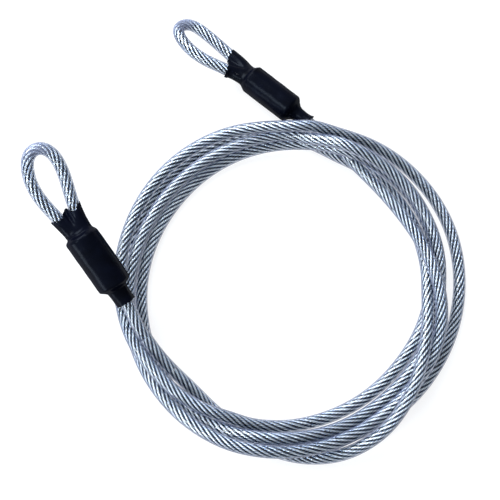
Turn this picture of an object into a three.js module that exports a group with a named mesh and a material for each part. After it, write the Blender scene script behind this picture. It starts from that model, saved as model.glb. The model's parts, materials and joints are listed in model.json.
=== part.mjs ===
// Coated security cable with a loop eye at each end, lying coiled.
//
// Every real piece is its own solid: the clear PVC jacket, six outer strands
// and a core strand of galvanised wire rope, an aluminium ferrule pressed over
// the two legs of each eye, and a black heat-shrink sleeve over each ferrule.
// The cable is cut at three hinges, so that each end can turn. Its parts are
// the coil, a short link, the left end (which stands up over the coil) and the
// top end (which lies beside it, on the +Y side).
//
// Millimetres, +Z up, the coil lies on z = 0, and the origin is the middle of
// the underside of the whole object's box.

import * as THREE from 'three';

// ---- cable dimensions -------------------------------------------------------
const JACKET_RADIUS = 4;          // to the corners
const JACKET_BORE_RADIUS = 2.85;  // to the corners
const JACKET_SIDES = 8;
const STRAND_COUNT = 6;           // outer strands, laid right-handed round the core
const STRAND_RING_RADIUS = 1.75;  // from the cable's centre to a strand's centre
const STRAND_RADIUS = 0.75;       // to the corners
const STRAND_SIDES = 3;
const STRAND_LAY = 170;           // length of cable in one full turn of a strand
// Gap in the cable at each hinge: swing is between the left end and the link,
// lift between the link and the coil.
const HINGE_GAP = { leftSwing: 3.2, leftLift: 2.8, topSwing: 2.8 };

// ---- ferrule and sleeve dimensions ------------------------------------------
const RING_SIDES = 16;
const FERRULE_LENGTH = 35.6;
const FERRULE_CHAMFER = { length: 0.6, depth: 0.3 };
const FERRULE_GAP = 0.25;                     // between a ferrule and its sleeve
const LEG_OFFSET = 4.15;                      // each leg from the ferrule's axis
const LEG_BORE_RADIUS = JACKET_RADIUS + 0.25; // ferrule bore around each leg
const BARREL_WALL = 0.7;                      // sleeve over the ferrule
// Where the barrel gives way to the mouth, measured from the barrel's end.
const SHOULDER = {
  startBefore: 0.8,
  endAfter: 0.3,
  widthDrop: 0.7,
  heightDrop: 1.6,
  boreEndBefore: 0.5,
};
const MOUTH_BORE_RADIUS = JACKET_RADIUS + 0.4; // sleeve around the two legs
const MOUTH_WALL = 0.6;
// Extra half height of the mouth at each legs station. The sleeve is thicker
// where it has shrunk less.
const MOUTH_SWELL = [1.2, 0.8, 0.5, 0.2, 0];

// Moves the stations below so that the origin is the middle of the underside.
const ORIGIN_SHIFT = [24.092, -42.743, -0.3045];

// ---- where the cable lies -----------------------------------------------------
// [x, y, z] of the cable's centre line. The coil is nearly five turns, crossing
// over and under itself. The stations start 192 degrees round from +X and are
// 12 degrees apart, except that the last is 6 degrees on. The first is the swing
// hinge, the second the lift hinge and the last the top hinge.
const COIL = [
  [-96.67, -24.14, 26.41], [-85.18, -40.29, 18.87], [-72.61, -53.95, 12.22],
  [-59.4, -66.29, 7.75], [-45.78, -78.86, 5.26], [-29.54, -90.15, 4.0],
  [-11.07, -101.01, 4.0], [9.89, -106.28, 4.43], [31.99, -104.03, 8.49],
  [51.8, -94.62, 13.74], [67.13, -79.42, 18.24], [77.65, -60.63, 19.69],
  [84.15, -40.64, 18.57], [88.04, -20.74, 15.99], [89.55, -0.85, 12.87],
  [89.88, 19.19, 9.24], [85.99, 39.04, 6.66], [78.04, 57.78, 5.05],
  [65.65, 73.87, 4.31], [49.7, 86.48, 4.0], [31.41, 96.17, 4.0],
  [12.25, 105.85, 4.0], [-9.94, 111.24, 4.0], [-33.17, 109.09, 4.0],
  [-54.74, 99.61, 4.0], [-73.67, 85.39, 4.0], [-88.89, 67.25, 4.0],
  [-99.52, 46.23, 4.0], [-105.45, 23.71, 4.0], [-106.72, 0.79, 4.0],
  [-103.87, -21.68, 4.0], [-96.8, -42.98, 4.0], [-85.32, -61.97, 4.0],
  [-69.85, -77.45, 4.05], [-51.51, -89.03, 4.95], [-32.0, -97.13, 9.85],
  [-11.79, -100.24, 12.77], [9.09, -99.16, 10.0], [29.53, -95.36, 6.56],
  [49.37, -87.85, 4.56], [68.06, -76.99, 4.0], [84.42, -62.05, 4.0],
  [97.68, -43.63, 4.0], [107.26, -22.44, 4.0], [112.37, 0.79, 4.0],
  [112.29, 24.99, 4.08], [106.38, 48.62, 4.49], [94.64, 69.84, 5.73],
  [78.02, 87.11, 8.44], [57.6, 99.06, 13.12], [34.91, 105.31, 19.66],
  [12.12, 109.25, 24.92], [-10.96, 109.24, 21.91], [-34.31, 108.15, 17.42],
  [-56.88, 100.62, 14.19], [-76.86, 86.91, 12.57], [-92.73, 68.16, 12.43],
  [-103.51, 45.95, 13.62], [-109.07, 22.03, 15.9], [-108.98, -2.11, 18.62],
  [-103.72, -24.78, 20.28], [-93.18, -44.26, 20.25], [-78.96, -59.79, 19.25],
  [-63.07, -71.94, 18.43], [-45.46, -79.1, 17.03], [-27.85, -84.59, 12.59],
  [-9.95, -86.9, 8.57], [7.98, -85.21, 6.0], [25.13, -80.4, 4.67],
  [41.17, -72.97, 4.15], [55.74, -62.84, 4.02], [68.6, -50.22, 4.0],
  [79.79, -35.35, 4.0], [88.42, -18.26, 4.0], [94.02, 0.92, 4.0],
  [96.73, 21.64, 4.45], [93.71, 42.65, 6.03], [84.29, 61.7, 9.0],
  [69.69, 77.06, 13.49], [51.3, 88.23, 20.1], [32.1, 95.19, 20.14],
  [11.67, 101.2, 10.94], [-9.29, 101.43, 7.22], [-29.51, 96.83, 5.21],
  [-48.16, 87.7, 4.3], [-64.41, 74.78, 4.03], [-77.71, 58.91, 4.0],
  [-87.94, 40.96, 4.0], [-94.58, 21.36, 4.01], [-97.04, 0.77, 4.15],
  [-95.35, -19.97, 4.8], [-89.43, -40.03, 6.4], [-79.33, -58.26, 8.46],
  [-65.65, -73.66, 10.19], [-49.29, -86.06, 12.58], [-30.52, -92.48, 16.53],
  [-11.1, -94.4, 18.37], [8.14, -93.5, 15.86], [27.06, -89.07, 11.55],
  [44.9, -80.75, 7.98], [60.92, -69.27, 6.14], [74.67, -55.31, 6.41],
  [85.85, -39.17, 8.13], [93.87, -20.8, 9.69], [97.9, -0.77, 11.1],
  [98.46, 20.4, 12.49], [93.68, 41.17, 14.23], [83.97, 60.13, 17.23],
  [69.72, 75.83, 21.91], [51.97, 87.07, 28.15], [31.43, 96.2, 28.49],
  [11.17, 102.02, 19.41], [-10.13, 105.22, 14.68], [-31.48, 100.77, 12.22],
  [-51.44, 91.77, 10.77], [-69.03, 78.55, 10.07], [-83.49, 61.83, 9.98],
  [-94.45, 42.51, 10.42], [-101.55, 21.37, 11.19], [-104.09, -0.77, 11.88],
  [-102.18, -22.85, 12.13], [-95.66, -43.92, 12.24], [-84.61, -62.93, 13.18],
  [-69.91, -79.11, 15.02], [-52.27, -91.57, 17.87], [-32.63, -99.54, 20.06],
  [-11.93, -102.76, 20.53], [8.73, -101.6, 18.18], [28.88, -96.34, 15.38],
  [47.53, -86.99, 12.77], [64.47, -74.66, 11.18], [79.53, -60.03, 11.05],
  [91.0, -42.7, 13.55], [96.45, -22.9, 17.39], [96.14, -2.24, 19.29],
  [91.49, 17.94, 17.76], [83.6, 36.49, 15.0], [73.45, 53.11, 12.93],
  [61.71, 68.35, 12.05], [48.36, 83.08, 12.26], [33.62, 99.75, 11.87],
  [24.34, 108.54, 10.86],
];

// An end of the cable. Distances along are from the tip of its sleeve.
//   along, across  directions from the tip towards the eye, and across the eye
//   path           centre line as [along, across]: up the live leg, round the
//                  eye and back down the dead leg to its cut end
//   ferruleFrom    where the ferrule starts
//   barrelRadius, barrelTo   sleeve over the ferrule, and where it stops
//   tail, tailBore           sleeve from tip to barrel, as [along, radius]
//   legs           the mouth, as [along, middle of the legs, half their spacing]
//   boreLead       stations like legs, but shaping only the mouth's bore
const LEFT_END = {
  tip: [-103.33, -11.09, 31.5],
  along: [-0.53129, 0.77508, 0.34202],
  across: [0.82141, 0.57011, -0.01599],
  path: [
    [0, 0], [6.98, 0.28], [11.31, 1.48], [16.93, 3.57], [21.88, 4.15],
    [29.88, 4.15], [42.88, 4.15], [55.87, 4.53], [68.67, 6.7], [81.13, 10.43],
    [93.84, 13.02], [100.79, 12.54], [104.41, 10.88], [106.98, 7.87], [107.73, 3.99],
    [106.37, 0.27], [103.61, -2.6], [96.57, -6.34], [85.83, -8.48], [72.88, -7.58],
    [60.07, -5.37], [47.14, -4.09], [34.15, -4.15], [22.5, -4.15],
  ],
  ferruleFrom: 11.7,
  barrelRadius: 10.6,
  barrelTo: 48,
  tail: [[0, 6.5], [9.5, 6.5], [10.3, 9.7], [11.3, 10.6]],
  tailBore: [[0, 5.85], [10.8, 5.85], [11.1, 9.9]],
  boreLead: [[48.2, 0.06, 4.25]],
  legs: [
    [51, -0.04, 4.43], [54.5, -0.16, 4.65], [58, -0.14, 5.03],
    [62, -0.07, 5.64], [66, -0.07, 6.32],
  ],
};
const TOP_END = {
  tip: [13.51, 117.68, 10.7],
  along: [-0.77031, 0.63767, 0],
  across: [0.59175, 0.71483, -0.37262],
  path: [
    [0, 0], [6.98, 0.28], [11.31, 1.48], [16.93, 3.57], [21.88, 4.15],
    [29.88, 4.15], [42.88, 4.15], [55.88, 4.43], [68.84, 5.33], [81.78, 6.59],
    [94.75, 7.55], [106.69, 6.92], [110.29, 5.24], [112.65, 2.07], [113.17, -1.86],
    [111.58, -5.47], [108.55, -8.06], [100.73, -11.31], [89.35, -12.63], [76.6, -10.29],
    [64.15, -6.53], [51.37, -4.27], [38.38, -4.15], [22.5, -4.15],
  ],
  ferruleFrom: 14.3,
  barrelRadius: 10,
  barrelTo: 50.5,
  tail: [[0, 5.6], [7, 5.4], [10, 6.2], [12, 7.6], [13.4, 9.2], [14.4, 10]],
  tailBore: [[0, 4.9], [7, 4.7], [10, 5.5], [12, 6.9], [13.2, 8.3], [14.2, 9.3]],
  boreLead: [],
  legs: [
    [51, 0.03, 4.3], [54.5, -0.21, 4.61], [58, -0.43, 5.01],
    [62, -0.65, 5.5], [68.5, -1.27, 6.58],
  ],
};

// ---- materials ----------------------------------------------------------------
const standard = (settings) => new THREE.MeshStandardMaterial(settings);
const pvc = () => standard({ color: 0xd9dde8, roughness: 0.18, metalness: 0 });
const steel = () => standard({ color: 0xb4b8c2, roughness: 0.32, metalness: 1 });
const aluminium = () => standard({ color: 0xc3c5c9, roughness: 0.4, metalness: 1 });
const heatShrink = () => standard({ color: 0x0b0c12, roughness: 0.5, metalness: 0 });

// ---- skins ----------------------------------------------------------------------
function shiftedGeometry(points, faces) {
  const shift = new THREE.Vector3(...ORIGIN_SHIFT);
  const positions = points.flatMap((point) => point.clone().add(shift).toArray());
  const geometry = new THREE.BufferGeometry();
  geometry.setAttribute('position', new THREE.Float32BufferAttribute(positions, 3));
  geometry.setIndex(faces.flat());
  geometry.computeVertexNormals();
  return geometry;
}

// Joins rings of equal count in order. A capped skin is closed by its first and
// last rings; otherwise the last ring joins the first.
function skin(rings, { capped }) {
  const count = rings[0].length;
  const faces = [];
  const bands = capped ? rings.length - 1 : rings.length;
  for (let i = 0; i < bands; i += 1) {
    const near = i * count;
    const far = ((i + 1) % rings.length) * count;
    for (let k = 0; k < count; k += 1) {
      const next = (k + 1) % count;
      faces.push([near + k, near + next, far + next], [near + k, far + next, far + k]);
    }
  }
  if (capped) {
    const last = (rings.length - 1) * count;
    for (let k = 1; k < count - 1; k += 1) {
      faces.push([0, k + 1, k], [last, last + k, last + k + 1]);
    }
  }
  return shiftedGeometry(rings.flat(), faces);
}

// ---- cable ------------------------------------------------------------------------
const UP = new THREE.Vector3(0, 0, 1);

// A frame at each point of a line: side is level, rise is square to side and
// line, and side x rise points along the line.
function framesAlong(line) {
  return line.map((centre, i) => {
    const tangent = new THREE.Vector3();
    if (i > 0) tangent.add(centre.clone().sub(line[i - 1]).normalize());
    if (i < line.length - 1) tangent.add(line[i + 1].clone().sub(centre).normalize());
    tangent.normalize();
    const rise = UP.clone().addScaledVector(tangent, -UP.dot(tangent)).normalize();
    const side = new THREE.Vector3().crossVectors(rise, tangent).normalize();
    return { centre, rise, side };
  });
}

// A regular ring, its middle moved offset from the frame's centre towards turn.
function ringAt(frame, { radius, sides, turn, offset = 0 }) {
  return Array.from({ length: sides }, (_, k) => {
    const angle = turn + (2 * Math.PI * k) / sides;
    return frame.centre.clone()
      .addScaledVector(frame.side, offset * Math.cos(turn) + radius * Math.cos(angle))
      .addScaledVector(frame.rise, offset * Math.sin(turn) + radius * Math.sin(angle));
  });
}

function jacket(frames) {
  const ringsOf = (radius) => frames.map((frame) => ringAt(frame, {
    radius, sides: JACKET_SIDES, turn: Math.PI / JACKET_SIDES,
  }));
  const bore = ringsOf(JACKET_BORE_RADIUS).reverse();
  return skin([...ringsOf(JACKET_RADIUS), ...bore], { capped: false });
}

function strand(frames, lengths, { offset, phase }) {
  const rings = frames.map((frame, i) => ringAt(frame, {
    radius: STRAND_RADIUS,
    sides: STRAND_SIDES,
    turn: phase + (2 * Math.PI * lengths[i]) / STRAND_LAY,
    offset,
  }));
  return skin(rings, { capped: true });
}

const group = new THREE.Group();
function addPiece(name, geometry, material) {
  const mesh = new THREE.Mesh(geometry, material);
  mesh.name = name;
  group.add(mesh);
}

function addCable(prefix, line) {
  const frames = framesAlong(line);
  const lengths = [0];
  for (let i = 1; i < line.length; i += 1) {
    lengths.push(lengths[i - 1] + line[i].distanceTo(line[i - 1]));
  }
  addPiece(`${prefix}_jacket`, jacket(frames), pvc());
  for (let k = 0; k < STRAND_COUNT; k += 1) {
    const lay = { offset: STRAND_RING_RADIUS, phase: (2 * Math.PI * k) / STRAND_COUNT };
    addPiece(`${prefix}_strand_${k + 1}`, strand(frames, lengths, lay), steel());
  }
  addPiece(`${prefix}_core`, strand(frames, lengths, { offset: 0, phase: 0 }), steel());
}

// ---- ferrules and sleeves -----------------------------------------------------------
// A point in an end's own directions; lift is square to the plane of the eye.
function endPoint(end, along, across, lift = 0) {
  const alongAxis = new THREE.Vector3(...end.along);
  const acrossAxis = new THREE.Vector3(...end.across);
  const liftAxis = new THREE.Vector3().crossVectors(alongAxis, acrossAxis).normalize();
  return new THREE.Vector3(...end.tip)
    .addScaledVector(alongAxis, along)
    .addScaledVector(acrossAxis, across)
    .addScaledVector(liftAxis, lift);
}

// A circle, or two half circles of radius halfHeight spread to halfWidth.
function section(end, [along, halfWidth, halfHeight, middle = 0]) {
  return Array.from({ length: RING_SIDES }, (_, k) => {
    const angle = ((k + 0.5) * 2 * Math.PI) / RING_SIDES;
    const spread = Math.sign(Math.cos(angle)) * (halfWidth - halfHeight);
    const across = middle + spread + halfHeight * Math.cos(angle);
    return endPoint(end, along, across, halfHeight * Math.sin(angle));
  });
}

const sectionSkin = (end, rows) => skin(rows.map((row) => section(end, row)), { capped: false });

function ferrule(end) {
  const radius = end.barrelRadius - BARREL_WALL - FERRULE_GAP;
  const rim = radius - FERRULE_CHAMFER.depth;
  const from = end.ferruleFrom;
  const to = from + FERRULE_LENGTH;
  const boreHalfWidth = LEG_OFFSET + LEG_BORE_RADIUS;
  return sectionSkin(end, [
    [from, rim, rim],
    [from + FERRULE_CHAMFER.length, radius, radius],
    [to - FERRULE_CHAMFER.length, radius, radius],
    [to, rim, rim],
    [to, boreHalfWidth, LEG_BORE_RADIUS],
    [from, boreHalfWidth, LEG_BORE_RADIUS],
  ]);
}

function sleeve(end) {
  const { barrelRadius: radius, barrelTo } = end;
  const boreRadius = radius - BARREL_WALL;
  const round = ([along, r]) => [along, r, r];
  const mouthBore = ([along, middle, halfSpacing]) => (
    [along, halfSpacing + MOUTH_BORE_RADIUS, MOUTH_BORE_RADIUS, middle]);
  const mouthOutside = (station, i) => {
    const [along, halfWidth, halfHeight, middle] = mouthBore(station);
    return [along, halfWidth + MOUTH_WALL, halfHeight + MOUTH_WALL + MOUTH_SWELL[i], middle];
  };
  const outside = [
    ...end.tail.map(round),
    [barrelTo - SHOULDER.startBefore, radius, radius],
    [barrelTo + SHOULDER.endAfter, radius - SHOULDER.widthDrop, radius - SHOULDER.heightDrop],
    ...end.legs.map(mouthOutside),
  ];
  const bore = [
    ...end.tailBore.map(round),
    [barrelTo - SHOULDER.boreEndBefore, boreRadius, boreRadius],
    ...[...end.boreLead, ...end.legs].map(mouthBore),
  ];
  return sectionSkin(end, [...outside, ...bore.reverse()]);
}

function addFittings(prefix, end) {
  addPiece(`${prefix}_ferrule`, ferrule(end), aluminium());
  addPiece(`${prefix}_sleeve`, sleeve(end), heatShrink());
}

// ---- assembly: the centre line cut at the hinges --------------------------------------
// The cut face half a gap from a hinge, on the way to another point.
function cutFace(hinge, target, gap) {
  const direction = target.clone().sub(hinge).normalize();
  return hinge.clone().addScaledVector(direction, gap / 2);
}

const coil = COIL.map((station) => new THREE.Vector3(...station));
const [swingHinge, liftHinge] = coil;
const topHinge = coil.at(-1);

function endLine(end, hinge, gap) {
  const path = end.path.map(([along, across]) => endPoint(end, along, across));
  return [cutFace(hinge, path[0], gap), ...path];
}

addCable('coil', [
  cutFace(liftHinge, coil[2], HINGE_GAP.leftLift),
  ...coil.slice(2, -1),
  cutFace(topHinge, coil.at(-2), HINGE_GAP.topSwing),
]);
addCable('link', [
  cutFace(swingHinge, liftHinge, HINGE_GAP.leftSwing),
  swingHinge.clone().lerp(liftHinge, 0.5),
  cutFace(liftHinge, swingHinge, HINGE_GAP.leftLift),
]);
addCable('left', endLine(LEFT_END, swingHinge, HINGE_GAP.leftSwing));
addCable('top', endLine(TOP_END, topHinge, HINGE_GAP.topSwing));

addFittings('left', LEFT_END);
addFittings('top', TOP_END);

export default group;
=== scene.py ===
import json
import math

import bpy
import numpy as np
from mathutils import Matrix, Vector


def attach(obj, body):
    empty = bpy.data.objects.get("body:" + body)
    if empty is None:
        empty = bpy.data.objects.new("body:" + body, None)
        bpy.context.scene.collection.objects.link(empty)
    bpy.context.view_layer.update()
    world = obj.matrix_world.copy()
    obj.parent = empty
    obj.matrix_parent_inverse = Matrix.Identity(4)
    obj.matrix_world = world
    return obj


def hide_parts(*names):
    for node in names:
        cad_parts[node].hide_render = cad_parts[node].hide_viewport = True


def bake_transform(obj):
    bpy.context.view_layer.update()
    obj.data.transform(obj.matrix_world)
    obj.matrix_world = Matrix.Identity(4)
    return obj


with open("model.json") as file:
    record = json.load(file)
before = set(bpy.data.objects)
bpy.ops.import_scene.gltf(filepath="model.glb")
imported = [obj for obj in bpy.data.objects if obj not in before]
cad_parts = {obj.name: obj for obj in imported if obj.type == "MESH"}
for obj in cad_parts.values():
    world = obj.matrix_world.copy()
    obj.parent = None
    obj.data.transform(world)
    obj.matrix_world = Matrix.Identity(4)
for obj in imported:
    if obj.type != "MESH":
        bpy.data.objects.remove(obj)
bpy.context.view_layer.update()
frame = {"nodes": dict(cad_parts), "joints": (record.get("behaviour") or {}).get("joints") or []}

# ---- sizes in millimetres ----------------------------------------------------
MM_PER_M = 1000.0
JACKET_R = 4.0
STRAND_R = 0.80
STRAND_RING = 2 * STRAND_R      # six strand centres round a core strand
STRAND_LAY = 33.3               # length of one right-hand turn of the strands
WIRE_R = 0.267                  # six wires round a seventh in each strand
WIRE_RING = STRAND_R - WIRE_R
WIRE_LAY = 11.5                 # length of one left-hand turn of the wires
BEND = 9.5                      # distance each side of a hinge, used for the bend starts and ends in HINGES

LINE_STEP = 0.5                 # spacing of the points on the centre line
LINE_BLUR = 1.0                 # width of the bell that smooths it
BLUR_REACH = 6                  # points of that bell each side
JACKET_STEP = 3.0               # widest spacing of rings on the jacket
STRAND_STEP = 1.2               # and on the strands
FINE_STEP = 0.8                 # narrowest spacing, in tight bends
TURN_PER_RING = 0.16            # radians of bend between two rings
HINGE_REACH = 14                # fine rings this near to a hinge
JACKET_SIDES = 32
SLEEVE_SIDES = 144
SLEEVE_WALL = 0.45

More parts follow.
